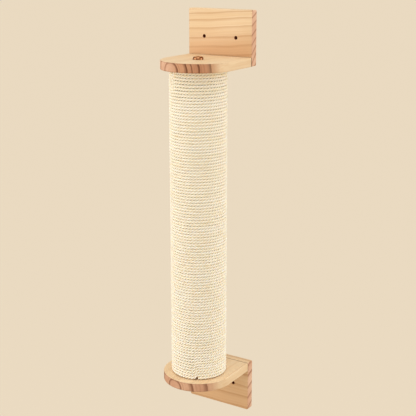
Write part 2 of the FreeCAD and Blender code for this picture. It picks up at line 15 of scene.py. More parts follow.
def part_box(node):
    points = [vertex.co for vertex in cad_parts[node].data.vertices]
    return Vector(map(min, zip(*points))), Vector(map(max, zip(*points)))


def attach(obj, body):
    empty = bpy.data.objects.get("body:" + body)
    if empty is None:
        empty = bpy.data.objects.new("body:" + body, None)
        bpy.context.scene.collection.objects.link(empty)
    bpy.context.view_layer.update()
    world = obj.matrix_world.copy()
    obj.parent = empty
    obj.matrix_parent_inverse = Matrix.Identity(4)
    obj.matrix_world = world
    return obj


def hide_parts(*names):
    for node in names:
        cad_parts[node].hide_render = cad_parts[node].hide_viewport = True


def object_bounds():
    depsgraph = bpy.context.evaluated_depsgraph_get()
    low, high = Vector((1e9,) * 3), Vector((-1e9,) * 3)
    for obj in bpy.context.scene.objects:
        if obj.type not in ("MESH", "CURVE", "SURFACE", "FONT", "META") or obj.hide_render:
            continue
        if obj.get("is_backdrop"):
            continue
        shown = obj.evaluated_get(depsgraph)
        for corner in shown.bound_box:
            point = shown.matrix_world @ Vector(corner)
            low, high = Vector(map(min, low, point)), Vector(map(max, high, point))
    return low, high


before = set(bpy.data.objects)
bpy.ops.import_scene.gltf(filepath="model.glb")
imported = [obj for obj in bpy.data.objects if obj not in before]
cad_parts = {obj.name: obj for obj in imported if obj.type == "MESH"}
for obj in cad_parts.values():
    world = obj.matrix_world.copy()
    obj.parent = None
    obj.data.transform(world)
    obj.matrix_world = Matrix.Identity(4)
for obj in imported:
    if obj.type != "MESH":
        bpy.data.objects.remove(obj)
cad_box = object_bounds()
bpy.context.scene.view_settings.view_transform = "Standard"
print("nodes:", ", ".join(sorted(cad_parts)))

# %% [markdown]
# ## Measures
# The model knows where everything is, so the sizes are read from its nodes' boxes. The few
# sizes that a box can't tell, such as a screw hole, are written down once here.

# %% Sizes read from the model, and a few of its small ones
MM = 0.001


def middle(box):
    return (Vector(box[0]) + Vector(box[1])) / 2


tube_box, plate_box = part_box("post_tube"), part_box("upper_wall_plate")
post_axis = middle(tube_box)
post_radius = (tube_box[1][0] - tube_box[0][0]) / 2
post_foot, post_head = tube_box[0][2], tube_box[1][2]
plate_front = plate_box[0][1]
board_thick = plate_box[1][1] - plate_front
half_width = plate_box[1][0]
EDGE_EASE = 1.2 * MM
CORNER_RADIUS = 3 * MM
WALL_HOLE_RADIUS, WALL_HOLES_APART = 3.5 * MM, 70 * MM
SCREW_HOLE_RADIUS, SCREWS_APART = 2.15 * MM, 84 * MM
SCREW_SINK_RADIUS, SCREW_SINK_DEPTH = 4.65 * MM, 2.5 * MM
BOLT_HOLE_RADIUS = 4.25 * MM
print(f"tube {post_radius * 2000:.1f} mm thick, {(post_head - post_foot) * 1000:.0f} mm long")

# %% [markdown]
# ## A short hand for node trees
# Materials and Geometry Nodes are both graphs. Building one in a script is mostly typing, so a
# few helpers shorten it. `add` makes a node and plugs its inputs. `Flow` wraps a socket, so that
# a formula can be written with + and *, and every sign becomes a Math node.


# %% Helpers that build nodes
def plug(tree, node, inputs):
    """Gives inputs, by name or number, a value, another socket, or a node's first output."""
    for key, value in dict(inputs).items():
        if isinstance(value, bpy.types.Node):
            value = value.outputs[0]
        value = getattr(value, "socket", value)
        if isinstance(value, bpy.types.NodeSocket):
            tree.links.new(value, node.inputs[key])
        else:
            node.inputs[key].default_value = value


def add(tree, kind, inputs=(), **settings):
    """A new node with its settings and its inputs."""
    made = tree.nodes.new(kind)
    for name, value in settings.items():
        setattr(made, name, value)
    plug(tree, made, inputs)
    return made


class Flow:
    """A number on its way through a node tree."""

    def __init__(self, tree, socket):
        self.tree, self.socket = tree, socket

    def math(self, operation, *others):
        made = add(self.tree, "ShaderNodeMath", enumerate((self, *others)), operation=operation)
        return Flow(self.tree, made.outputs[0])

    def __add__(self, other):
        return self.math("ADD", other)

    def __sub__(self, other):
        return self.math("SUBTRACT", other)

    def __mul__(self, other):
        return self.math("MULTIPLY", other)

    def __truediv__(self, other):
        return self.math("DIVIDE", other)

    def ramp(self, start, end, low=0.0, high=1.0):
        """Eases from low to high while this number goes from start to end."""
        made = add(self.tree, "ShaderNodeMapRange", {0: self, 1: start, 2: end, 3: low, 4: high},
                   interpolation_type="SMOOTHSTEP")
        return Flow(self.tree, made.outputs[0])


def split(tree, vector):
    """The three numbers of a vector."""
    made = add(tree, "ShaderNodeSeparateXYZ", {0: vector})
    return [Flow(tree, output) for output in made.outputs]


def stretch(tree, vector, *scales):
    """A vector with each of its numbers times a scale of its own."""
    return add(tree, "ShaderNodeVectorMath", {0: vector, 1: scales}, operation="MULTIPLY")


def blend(tree, share, first, second):
    """Mixes two colours; share 0 gives the first one."""
    made = add(tree, "ShaderNodeMix", {0: share, 6: first, 7: second}, data_type="RGBA")
    return made.outputs[2]


def noise(tree, where, scale, detail=2.0, roughness=0.5):
    """Soft noise round 0, from about -0.5 to 0.5."""
    made = add(tree, "ShaderNodeTexNoise", {"Vector": where, "Scale": scale, "Detail": detail,
               "Roughness": roughness})
    return Flow(tree, made.outputs[0]) - 0.5


def tone(red, green, blue):
    """A colour as a paint chart names it, 0 to 255, in the linear light that shaders use."""
    shares = (red / 255, green / 255, blue / 255)
    linear = [((c + 0.055) / 1.055) ** 2.4 if c > 0.04 else c / 12.92 for c in shares]
    return (*linear, 1.0)


def open_sockets(tree, kind, names, way="INPUT"):
    for name in names:
        tree.interface.new_socket(name, in_out=way, socket_type="NodeSocket" + kind)


def given_to(tree):
    """The inputs of a node group, by name, once all of its sockets are open."""
    start = add(tree, "NodeGroupInput")
    return {output.name: Flow(tree, output) for output in start.outputs if output.name}


print("helpers ready")

# %% [markdown]
# ## Finishes and objects
# Every finish starts from the same shader and ends with the same sockets: a colour, a roughness
# and mostly a relief. Every solid thing ends as a mesh in the scene. So each of these steps is
# written once.


# %% Helpers that make finishes and objects
def new_finish(name):
    """A material, its node tree and its shader."""
    material = bpy.data.materials.new(name)
    material.use_nodes = True
    return material, material.node_tree, material.node_tree.nodes["Principled BSDF"]


def relief(tree, height, strength, depth):
    return add(tree, "ShaderNodeBump", {"Height": height, "Strength": strength, "Distance": depth})


def in_scene(name, data):
    """An object for a mesh, a lamp or a camera."""
    made = bpy.data.objects.new(name, data)
    bpy.context.collection.objects.link(made)
    return made


def finished(name, mesh, place, sharp):
    """Turns a bmesh into an object at the origin. Its edges sharper than this angle stay so."""
    bmesh.ops.recalc_face_normals(mesh, faces=mesh.faces)
    mesh.transform(place)
    made = bpy.data.meshes.new(name)
    mesh.to_mesh(made)
    mesh.free()
    made.shade_smooth()
    made.set_sharp_from_angle(angle=math.radians(sharp))
    print(f"{name}: {len(made.polygons)} faces")
    return in_scene(name, made)


def spoke(degrees):
    """A direction in a plane, one long."""
    return Vector((math.cos(math.radians(degrees)), math.sin(math.radians(degrees))))


print("a spoke at 30 degrees:", tuple(round(c, 3) for c in spoke(30)))

# %% [markdown]
# ## Pine
# A board is cut from a trunk, and the trunk is a stack of cones, nearly cylinders, round its
# pith. So the grain isn't painted on: the shader measures how far each point is from the pith
# line and turns that distance into year rings. Then the lines on the face run on over the edge
# as the end grain's stripes, as they do on real wood. A ring starts pale and ends in a thin
# dark line of late wood. The rings are of uneven width and strength, and they wander a little.


# %% The pine's node group
def grain_noise(tree, trunk, along, across, detail, roughness=0.5):
    """Noise with its own scale along the grain and across it, for a trunk in millimetres."""
    return noise(tree, stretch(tree, trunk, along, across, across), 1.0, detail, roughness)


def year_rings(tree, count, seed, rise, least):
    """Pale for most of a ring, then a dark line that ends sharply. Each has its own strength."""
    share = count.math("FRACT")
    dice = add(tree, "ShaderNodeTexWhiteNoise", {"W": count.math("FLOOR") + seed},
               noise_dimensions="1D")
    weight = Flow(tree, dice.outputs["Value"]) * (1 - least) + least
    return share.ramp(rise, 0.95) * share.ramp(0.95, 1.0, 1.0, 0.0) * weight


def pine_group():
    tree = bpy.data.node_groups.new("pine rings", "ShaderNodeTree")
    open_sockets(tree, "Vector", ["Trunk"])
    open_sockets(tree, "Float", ["Count", "End grain", "Painted end shade", "Strength", "Heart"])
    open_sockets(tree, "Color", ["Colour"], "OUTPUT")
    open_sockets(tree, "Float", ["Roughness", "Height"], "OUTPUT")
    given = given_to(tree)
    trunk, count, end_grain = given["Trunk"], given["Count"], given["End grain"]
    main = year_rings(tree, count, 3.7, 0.6, 0.6)
    fine = year_rings(tree, count * 3.7 + 0.3, 11.3, 0.3, 0.1)
    late = (main + fine * 0.3).math("MINIMUM", 1.0)

    fibres = grain_noise(tree, trunk, 0.03, 2.2, 3.0, 0.65)
    streaks = grain_noise(tree, trunk, 0.008, 0.35, 2.0)
    cloud = grain_noise(tree, trunk, 0.008, 0.03, 2.0)
    pores = grain_noise(tree, trunk, 1.5, 1.5, 3.0, 0.7)

    pale = blend(tree, cloud.ramp(-0.16, 0.16), tone(237, 211, 173), tone(232, 202, 160))
    pale = blend(tree, streaks.ramp(-0.25, 0.3) * 0.6, pale, tone(226, 189, 142))
    pale = blend(tree, given["Heart"], pale, tone(213, 165, 118))
    on_face = blend(tree, late * given["Strength"], pale, tone(188, 138, 90))
    on_face = blend(tree, fibres.ramp(0.12, 0.34) * 0.25, on_face, tone(208, 162, 113))

    # the end grain, from its pale side to its side in painted shade
    light = blend(tree, cloud.ramp(-0.2, 0.2), tone(228, 188, 158), tone(216, 168, 136))
    end_in_painted_shade = blend(tree, cloud.ramp(-0.2, 0.2), tone(206, 152, 114), tone(186, 128, 92))
    early = blend(tree, given["Painted end shade"], light, end_in_painted_shade)
    stripe = blend(tree, given["Painted end shade"], tone(172, 122, 94), tone(116, 70, 42))
    on_end = blend(tree, (late * 1.15).math("MINIMUM", 1.0), early, stripe)
    on_end = blend(tree, pores.ramp(-0.05, 0.3) * 0.3, on_end, tone(178, 124, 90))

    add(tree, "NodeGroupOutput", {
        "Colour": blend(tree, end_grain, on_face, on_end),
        "Roughness": fibres * 0.25 + end_grain * 0.18 + 0.56,
        "Height": fibres * 0.6 + late * 0.25 - (pores * end_grain) * 1.6})
    return tree


PINE = pine_group()
print("pine:", len(PINE.nodes), "nodes in the group")

# %% [markdown]
# Each board is its own cut, so each has its own material. It places the trunk: where the pith
# lies as seen from the board, how far the grain tilts, and at which radii its rings end. A curve
# turns the distance into a count of rings, so that wide and narrow years come as listed. The end
# grain shows where the surface looks along the grain. It is darker and rosier, because the open
# ends of the fibres swallow light, and on each shelf's nose a painted shade darkens it further
# across a given span. Where a shelf meets its plate, a thin line of glue and painted shade darkens
# the joint, and painted shade lines the nose's end grain along its top and bottom edges.


# %% From a distance to a count of rings
CURVE_REACH, CURVE_MOST = 300.0, 40.0   # what the curve's two axes stand for: millimetres, rings
FIRST_COUNT, SPARE_RINGS = 10, 8        # the count at the first listed ring, rings added each side


def ring_count(tree, distance, radii):
    """How many rings lie within a distance from the pith, by a curve through the radii."""
    made = add(tree, "ShaderNodeFloatCurve", {"Value": distance / CURVE_REACH})
    curve = made.mapping.curves[0]
    width = (radii[-1] - radii[0]) / (len(radii) - 1)
    # rings that fit inside the first listed one; beside the pith that is just under one
    within = min(SPARE_RINGS, radii[0] / width) if radii[0] > 2 * width else 0.94
    marks = [(radius, FIRST_COUNT + k) for k, radius in enumerate(radii)]
    marks.insert(0, (max(0.0, radii[0] - SPARE_RINGS * width), FIRST_COUNT - within))
    marks.append((radii[-1] + SPARE_RINGS * width, marks[-1][1] + SPARE_RINGS))
    marks = [(radius / CURVE_REACH, count / CURVE_MOST) for radius, count in marks]
    curve.points[0].location, curve.points[-1].location = marks[0], marks[-1]
    for mark in marks[1:-1]:
        curve.points.new(*mark)
    for point in curve.points:
        point.handle_type = "VECTOR"
    made.mapping.update()
    return Flow(tree, made.outputs[0]) * CURVE_MOST


# %% The finish of one board
def pine(name, grain, pith, radii, tilt=0.0, strength=0.55, painted_end_shade=(0, 0, 0), wander=5.0,
         heart=(0, 1, 0), seam=None, middle_level=None):
    """grain is "X" or "Y". pith is where the pith crosses the board's middle, and radii are where
    its rings end, in millimetres; pith counts across and up from the object's origin. heart is the
    first and the last ring of the change from heartwood, and its share. painted_end_shade is a
    painted
    shade on the end grain: where across the board it starts and ends, and how dark it gets. seam
    is where a shelf's joint with its plate lies and how wide its painted shade is."""
    material, tree, shader = new_finish(name)
    where = add(tree, "ShaderNodeTexCoord").outputs
    turn = (0.0, 0.0, math.radians(-90)) if grain == "Y" else (0.0, math.radians(tilt), 0.0)
    centre = {"X": (0.0, -pith[0], -pith[1]), "Y": (0.0, pith[0], -pith[1])}[grain]
    trunk = add(tree, "ShaderNodeMapping", {"Vector": where["Object"], "Location": centre,
                "Rotation": turn, "Scale": (1 / MM, 1 / MM, 1 / MM)})
    _, across, up = split(tree, trunk)
    swerve = grain_noise(tree, trunk, 0.012, 0.014, 1.0) * wander
    swerve = swerve + grain_noise(tree, trunk, 0.03, 0.12, 1.0) * 1.6
    distance = (across * across + up * up).math("SQRT") + swerve
    count = ring_count(tree, distance, radii)
    sideways, outwards, level = split(tree, where["Object"])
    square_on = split(tree, where["Normal"])["XYZ".index(grain)].math("ABSOLUTE")

    wood = tree.nodes.new("ShaderNodeGroup")
    wood.node_tree = PINE
    plug(tree, wood, {
        "Trunk": trunk, "Count": count, "Strength": strength,
        "End grain": square_on.ramp(0.25, 0.75),
        # painted shade: across the board the end grain darkens from one given point to another
        "Painted end shade": (sideways / MM).ramp(painted_end_shade[0], painted_end_shade[1], 0.0, painted_end_shade[2]),
        "Heart": count.ramp(heart[0], heart[1], heart[2], 0.0)})
    colour = wood.outputs["Colour"]
    if seam is not None:
        joint, shade = seam
        # painted shade, with some glue: the colour darkens towards the joint with the plate
        near = outwards.ramp(joint - shade, joint - shade / 4)
        colour = blend(tree, near * 0.9, colour, tone(92, 54, 28))
        # painted shade along the nose's top and bottom edges, on its end grain
        painted_edge_shade = (level - middle_level).math("ABSOLUTE")
        painted_edge_shade = painted_edge_shade.ramp(board_thick / 2 - 2.4 * MM, board_thick / 2 - 0.2 * MM) * square_on
        colour = blend(tree, painted_edge_shade * 0.4, colour, tone(128, 80, 50))
    plug(tree, shader, {"Base Color": colour, "Roughness": wood.outputs["Roughness"],
                        "Normal": relief(tree, wood.outputs["Height"], 0.35, 0.25 * MM),
                        "Specular IOR Level": 0.3})
    return material


PINE_OF = {
    "upper_wall_plate": pine("pine upper plate", "X", (82.6, -119), (121.8, 132.3, 143.7, 156.7,
                             171.1, 183.4, 193.6), tilt=4.1, heart=(11, 14.4, 0.85)),
    "upper_shelf": pine("pine upper shelf", "Y", (-15, -50), (18.2, 36.5, 44.5, 56.5, 71.5, 86),
                        strength=0.18, painted_end_shade=(-26, 6, 1.0), wander=1.4,
                        seam=(plate_front, 3.4 * MM),
                        middle_level=middle(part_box("upper_shelf")).z),
    "lower_wall_plate": pine("pine lower plate", "X", (76, -863), (146.5, 165.5, 185, 209, 228),
                             heart=(8, 15, 0.8)),
    "lower_shelf": pine("pine lower shelf", "Y", (-12.5, -666.5), (17.6, 42, 64.5, 83),
                        strength=0.18, painted_end_shade=(-90, -80, 0.5), wander=1.4,
                        seam=(plate_front, 2.2 * MM),
                        middle_level=middle(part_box("lower_shelf")).z),
}
print("boards:", ", ".join(PINE_OF))

# %% [markdown]
# A drill leaves the wall of its hole rough, and no light gets far inside, so the bore's walls get a
# painted shade of dark brown.


# %% The bores
def bore_finish():
    material, tree, shader = new_finish("drilled pine")
    turned = add(tree, "ShaderNodeMapping", {
        "Vector": add(tree, "ShaderNodeTexCoord").outputs["Object"], "Scale": (1, 4, 1)})
    bore_shade_noise = noise(tree, turned, 500.0, 3.0, 0.6)
    # painted shade: the walls of the bore are coloured dark brown
    colour = blend(tree, bore_shade_noise.ramp(-0.2, 0.2), tone(112, 48, 18), tone(150, 74, 34))
    plug(tree, shader, {"Base Color": colour, "Roughness": bore_shade_noise * 0.2 + 0.8})
    return material


BORE = bore_finish()
print("bores ready")

# %% [markdown]
# ## The boards
# A board looks machine made when its edges are knife sharp, so the most important part of its
# mesh is a rounding of about a millimetre that catches the light. Each board is built as a
# stack of outlines: the same outline is drawn again at each level of the rounding, a little
# smaller near the faces. All outlines here are lines and arcs, so a smaller one is exact. Extra
# points and outlines close beside each rounding keep the shading of the flat parts flat.

# %% Outlines and their smaller copies
GUARD = 0.5 * MM            # from a rounding to what keeps the flat part beside it flat
END_GUARD = 0.4 * MM        # the same, before a shelf's square end


def rounded_rectangle(half_wide, half_tall, radius, inset):
    """Four corner arcs, each with one more point before and after it."""
    points = []
    for quarter, (right, high) in enumerate(((1, 1), (-1, 1), (-1, -1), (1, -1))):
        centre = Vector((right * (half_wide - radius), high * (half_tall - radius)))
        first, last = 90 * quarter, 90 * quarter + 90
        arc = [centre + (radius - inset) * spoke(a) for a in range(first, last + 1, 15)]
        points += [arc[0] - GUARD * spoke(first + 90), *arc, arc[-1] + GUARD * spoke(last + 90)]
    return points


def tongue(radius, reach, inset):
    """A shelf: a square end at y = reach and a half round nose about the origin."""
    turn = radius - inset
    nose = [turn * spoke(-180 + 2.5 * step) for step in range(73)]
    return [*nose, Vector((turn, reach - END_GUARD)), Vector((turn, reach)),
            Vector((-turn, reach)), Vector((-turn, reach - END_GUARD))]


print("outline points:", len(rounded_rectangle(half_width, half_width, CORNER_RADIUS, 0)),
      len(tongue(half_width, half_width, 0)))

# %% A board from its outline, with holes through it
EASE_STEPS = 5
HOLE_SIDES = 40


def build_board(name, outline, holes, place, finish):
    """outline(inset) gives the board's outline in the plane. holes are (centre, rings), where
    rings are (height, radius) from one face to the other. place puts the board in the room."""
    half = board_thick / 2
    levels = [(EDGE_EASE + GUARD, half)]
    levels += [(EDGE_EASE * (1 - math.sin(a)), half - EDGE_EASE * (1 - math.cos(a)))
               for a in (math.radians(90 * k / EASE_STEPS) for k in range(EASE_STEPS + 1))]
    levels.append((0.0, half - EDGE_EASE - GUARD))
    levels += [(inset, -height) for inset, height in reversed(levels)]
    mesh = bmesh.new()

    def ring(points, height):
        return [mesh.verts.new((p[0], p[1], height)) for p in points]

    def skirt(upper, lower, inwards=False):
        for k in range(len(upper)):
            corners = [upper[k - 1], lower[k - 1], lower[k], upper[k]]
            face = mesh.faces.new(corners[::-1] if inwards else corners)
            face.material_index = 1 if inwards else 0

    sides = [ring(outline(inset), height) for inset, height in levels]
    for upper, lower in zip(sides, sides[1:]):
        skirt(upper, lower)
    rims = {1: [sides[0]], -1: [sides[-1]]}
    circle = [spoke(360 * k / HOLE_SIDES) for k in range(HOLE_SIDES)]
    for centre, rings in holes:
        walls = [ring([Vector(centre) + c * radius for c in circle], height)
                 for height, radius in rings]
        for upper, lower in zip(walls, walls[1:]):
            skirt(upper, lower, inwards=True)
        rims[1].append(walls[0])
        rims[-1].append(walls[-1])
    for side, loops in rims.items():
        edges = [mesh.edges.get((loop[k - 1], loop[k])) or mesh.edges.new((loop[k - 1], loop[k]))
                 for loop in loops for k in range(len(loop))]
        bmesh.ops.triangle_fill(mesh, edges=edges, use_beauty=True, normal=(0, 0, side))
    board = finished(name, mesh, place, sharp=40)
    for material in (finish, BORE):
        board.data.materials.append(material)
    return board


# %% The two wall plates
def wall_plate(name, node, up):
    """up is 1 for the upper plate, whose shelf is at its lower edge, and -1 for the other."""
    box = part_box(node)
    half_tall = (box[1][2] - box[0][2]) / 2
    half = board_thick / 2
    screw_level = -up * (half_tall - half)
    plain = [(half, WALL_HOLE_RADIUS), (-half, WALL_HOLE_RADIUS)]
    sunk = [(half, SCREW_HOLE_RADIUS), (SCREW_SINK_DEPTH - half, SCREW_HOLE_RADIUS),
            (-half, SCREW_SINK_RADIUS)]
    holes = [((side * WALL_HOLES_APART / 2, 0), plain) for side in (-1, 1)]
    holes += [((side * SCREWS_APART / 2, screw_level), sunk) for side in (-1, 1)]
    # the outline's plane stands up, and its front face looks away from the wall
    stand = Matrix.Translation(middle(box)) @ Matrix.Rotation(math.radians(90), 4, "X")

    def outline(inset):
        return rounded_rectangle(half_width, half_tall, CORNER_RADIUS, inset)

    return build_board(name, outline, holes, stand, PINE_OF[node])


upper_plate = wall_plate("pine_upper_wall_plate", "upper_wall_plate", 1)
lower_plate = wall_plate("pine_lower_wall_plate", "lower_wall_plate", -1)


# %% The two shelves
def shelf(name, node):
    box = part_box(node)
    half = board_thick / 2
    bore = [(half, BOLT_HOLE_RADIUS), (-half, BOLT_HOLE_RADIUS)]
    reach = box[1][1] - post_axis.y
    place = Matrix.Translation((post_axis.x, post_axis.y, middle(box).z))
    return build_board(name, lambda inset: tongue(half_width, reach, inset), [((0, 0), bore)],
                       place, PINE_OF[node])


upper_shelf = shelf("pine_upper_shelf", "upper_shelf")
lower_shelf = shelf("pine_lower_shelf", "lower_shelf")

# %% [markdown]
# ## Sisal rope
# The rope is the heart of the object: one rope, laid from three strands, wound from shelf to
# shelf. It follows a rule, so Geometry Nodes make it. A line of points is bent round the post by
# a formula, a section with three lobes is swept along it, and the section turns as it goes,
# which lays the strands. The first turns lie flat on the shelf and each climbs to the next row
# just before it closes. Towards the middle the climb spreads evenly over the turn.

# %% The rope's measures
ROPE_FROM, ROPE_TO = 301, 239       # degrees round the post at which the rope begins and ends
ROPE_TURNS = 106 + (ROPE_TO - ROPE_FROM + 360) / 360
ROPE_RADIUS = 3.0 * MM              # from its middle to the crown of a strand
ROPE_PRESSED = 0.95                 # the share of it that is left towards a shelf
ROPE_LAY = 18 * MM                  # the length in which a strand goes once round the rope
ROPE_LIFT = 1.5 * MM                # from the lower shelf up to the winding
RINGS_PER_TURN = 240
SECTION_POINTS = 18
PIECES = [("rope_lower_coils", 0, 12), ("rope_coils_2", 12, 29), ("rope_coils_3", 29, 46),
          ("rope_coils_4", 46, 62), ("rope_coils_5", 62, 79), ("rope_coils_6", 79, 95),
          ("rope_upper_coils", 95, ROPE_TURNS)]
row_height = (post_head - post_foot - ROPE_LIFT - 2 * ROPE_PRESSED * ROPE_RADIUS) / (ROPE_TURNS - 1)
rope_length = ROPE_TURNS * math.tau * (post_radius + ROPE_RADIUS)
print(f"rows every {row_height * 1000:.2f} mm, about {rope_length:.1f} m of rope")

# %% How the rope climbs, in turns and rows
STEP_AT = 0.972             # the share of a flat turn after which it steps up to the next row
FLAT_TO, EVEN_FROM = 0.5, 11.0      # flat turns give way to an even climb between these
OVERRUN = 0.439             # rows by which the even climb passes the first and the last row


def climb(turn, turns):
    """A level in rows for a number of turns: flat turns at the foot and head, even between."""
    def stepped(turn):
        return turn.math("FLOOR") + turn.math("FRACT").ramp(STEP_AT, 1.0)

    last = turns - 1
    foot, head = stepped(turn), last - stepped(turns - turn)
    even = turn * ((last + 2 * OVERRUN) / turns) - OVERRUN
    near_foot = turn.ramp(FLAT_TO, EVEN_FROM, 1.0, 0.0)
    near_head = (turns - turn).ramp(FLAT_TO, EVEN_FROM, 1.0, 0.0)
    return even + (foot - even) * near_foot + (head - even) * near_head


# %% The tree that winds the rope
def stored(tree, geometry, name, value, kind="FLOAT"):
    """Keeps a value on every point of a curve or a mesh, under a name."""
    return add(tree, "GeometryNodeStoreNamedAttribute", {"Geometry": geometry, "Name": name,
               "Value": value}, domain="POINT", data_type=kind)


def strand_section(tree, index, radius):
    """Three strands pressed together, seen end on. Each point knows its angle and its height."""
    step = math.tau / SECTION_POINTS
    circle = add(tree, "GeometryNodeCurvePrimitiveCircle", {"Resolution": SECTION_POINTS,
                 "Radius": 1.0})
    around = index * step
    per_strand = SECTION_POINTS / 3
    lobe = (index.math("MODULO", per_strand) - per_strand / 2) * step
    # each strand is a circle of 0.55 about a point 0.45 off the middle
    off, size = 0.45, 0.55
    sine = lobe.math("SINE")
    bulge = lobe.math("COSINE") * off
    bulge = bulge + (sine * sine * -off ** 2 + size ** 2).math("SQRT")
    reach = bulge * radius
    rim = add(tree, "ShaderNodeCombineXYZ", {0: around.math("COSINE") * reach,
              1: around.math("SINE") * reach})
    section = add(tree, "GeometryNodeSetPosition", {0: circle, "Position": rim})
    return stored(tree, stored(tree, section, "around", around), "crown", bulge)


def rope_tree():
    tree = bpy.data.node_groups.new("wind a laid rope", "GeometryNodeTree")
    open_sockets(tree, "Geometry", ["Geometry"])
    open_sockets(tree, "Float", ["First turn", "Last turn", "Turns", "Rings per turn",
                                 "Post radius", "Rope radius", "Row height", "Lay", "Seed"])
    open_sockets(tree, "Vector", ["Foot"])
    open_sockets(tree, "Material", ["Material"])
    open_sockets(tree, "Geometry", ["Geometry"], "OUTPUT")
    given = given_to(tree)
    radius = given["Rope radius"]

    # a point for every ring, numbered in turns from the foot of the post
    count = (given["Last turn"] - given["First turn"]) * given["Rings per turn"] + 1
    line = add(tree, "GeometryNodeMeshLine", {"Count": count})
    path = add(tree, "GeometryNodeMeshToCurve", {0: line})
    index = Flow(tree, add(tree, "GeometryNodeInputIndex").outputs[0])
    turn = given["First turn"] + index / given["Rings per turn"]

    # hand winding: the rope wanders a little, in and out and up and down
    def wander(seed, speed):
        made = add(tree, "ShaderNodeTexNoise", {"W": turn * speed + seed + given["Seed"],
                   "Scale": 1.0, "Detail": 2.0}, noise_dimensions="1D")
        return Flow(tree, made.outputs[0]) - 0.5

    angle = turn * math.tau + math.radians(ROPE_FROM)
    out = given["Post radius"] + radius + wander(5.0, 3.1) * (0.6 * MM)
    height = climb(turn, given["Turns"]) * given["Row height"] + radius * ROPE_PRESSED
    height = height + wander(40.0, 2.3) * (0.35 * MM)
    spot = add(tree, "ShaderNodeCombineXYZ", {0: angle.math("COSINE") * out,
               1: angle.math("SINE") * out, 2: height})
    spot = add(tree, "ShaderNodeVectorMath", {0: spot, 1: given["Foot"]}, operation="ADD")
    path = add(tree, "GeometryNodeSetPosition", {0: path, "Position": spot})
    path = add(tree, "GeometryNodeSetCurveNormal", {0: path}, mode="Z_UP")
    along = turn * math.tau * (given["Post radius"] + radius)
    twist = along / given["Lay"] * -math.tau + wander(80.0, 1.7) * 5.0 + wander(120.0, 9.0) * 1.4
    path = add(tree, "GeometryNodeSetCurveTilt", {0: path, "Tilt": twist})
    path = stored(tree, stored(tree, path, "along", along), "twist", twist)
    body = add(tree, "GeometryNodeCurveToMesh", {
        "Curve": path, "Profile Curve": strand_section(tree, index, radius), "Fill Caps": True})

    # the yarns' own space: across the rope without its twist, and along it
    kept = {name: Flow(tree, add(tree, "GeometryNodeInputNamedAttribute", {"Name": name},
                                 data_type="FLOAT").outputs[0])
            for name in ("along", "twist", "around")}
    straight = kept["around"] + kept["twist"]
    yarn = add(tree, "ShaderNodeCombineXYZ", {0: straight.math("COSINE") * radius,
               1: straight.math("SINE") * radius, 2: kept["along"]})
    body = stored(tree, body, "yarn", yarn, "FLOAT_VECTOR")
    body = add(tree, "GeometryNodeSetShadeSmooth", {0: body})
    body = add(tree, "GeometryNodeRealizeInstances", {0: body})
    body = add(tree, "GeometryNodeSetMaterial", {0: body, "Material": given["Material"]})
    add(tree, "NodeGroupOutput", {0: body})
    return tree


ROPE_TREE = rope_tree()
print("rope tree:", len(ROPE_TREE.nodes), "nodes")

# %% [markdown]
# ## The rope's fibres
# Sisal is a leaf fibre: pale, hard, a little glossy, and never of one colour. The shader reads
# the rope's own space, stored on its mesh, so the fibres run along the rope through every turn.
# The valleys between strands are painted darker, partly for the dust they hold and partly as
# painted shade.


# %% Sisal
def sisal():
    material, tree, shader = new_finish("sisal")
    yarn = add(tree, "ShaderNodeAttribute", attribute_name="yarn").outputs["Vector"]
    crown = Flow(tree, add(tree, "ShaderNodeAttribute", attribute_name="crown").outputs["Fac"])

    def yarn_noise(across, along, detail, roughness=0.5):
        return noise(tree, stretch(tree, yarn, across, across, along), 1.0, detail, roughness)

    fibres = yarn_noise(2600, 90, 3.0, 0.6)
    bundles = yarn_noise(700, 25, 2.0)
    strands = yarn_noise(260, 110, 1.0)
    lengths = yarn_noise(60, 5, 2.0)
    colour = blend(tree, lengths.ramp(-0.2, 0.2), tone(255, 252, 240), tone(255, 249, 230))
    colour = blend(tree, strands.ramp(-0.02, 0.2) * 0.4, colour, tone(246, 224, 184))
    colour = blend(tree, bundles.ramp(-0.05, 0.3) * 0.4, colour, tone(250, 234, 200))
    colour = blend(tree, fibres.ramp(0.05, 0.3) * 0.5, colour, tone(240, 218, 176))
    colour = blend(tree, fibres.ramp(-0.3, -0.1, 1.0, 0.0) * 0.5, colour, tone(255, 253, 242))
    # painted shade, with some dust: the colour darkens towards the valleys between the strands
    colour = blend(tree, crown.ramp(0.64, 0.98, 0.6, 0.0), colour, tone(238, 206, 156))
    plug(tree, shader, {"Base Color": colour, "Roughness": fibres * 0.3 + 0.62,
                        "Normal": relief(tree, fibres + bundles * 0.8, 0.6, 0.5 * MM),
                        "Specular IOR Level": 0.3, "Subsurface Weight": 0.3,
                        "Subsurface Radius": (1.0, 0.85, 0.65), "Subsurface Scale": 3 * MM})
    return material


SISAL = sisal()
print("sisal ready")


# %% The winding, in pieces that each stay small
def run_tree(name, tree, values, source=None):
    """Runs a node tree, on an empty mesh or on a source mesh, and keeps a plain mesh."""
    holder = in_scene(name, source.copy() if source else bpy.data.meshes.new(name))
    modifier = holder.modifiers.new(name, "NODES")
    modifier.node_group = tree
    for item in tree.interface.items_tree:
        if item.in_out == "INPUT" and item.name in values:
            modifier[item.identifier] = values[item.name]
    depsgraph = bpy.context.evaluated_depsgraph_get()
    plain = bpy.data.meshes.new_from_object(holder.evaluated_get(depsgraph),
                                            preserve_all_data_layers=True, depsgraph=depsgraph)
    holder.modifiers.remove(modifier)
    holder.data = plain
    triangles = sum(len(face.vertices) - 2 for face in plain.polygons)
    print(f"{name}: {len(plain.vertices)} points, {triangles} triangles")
    return holder


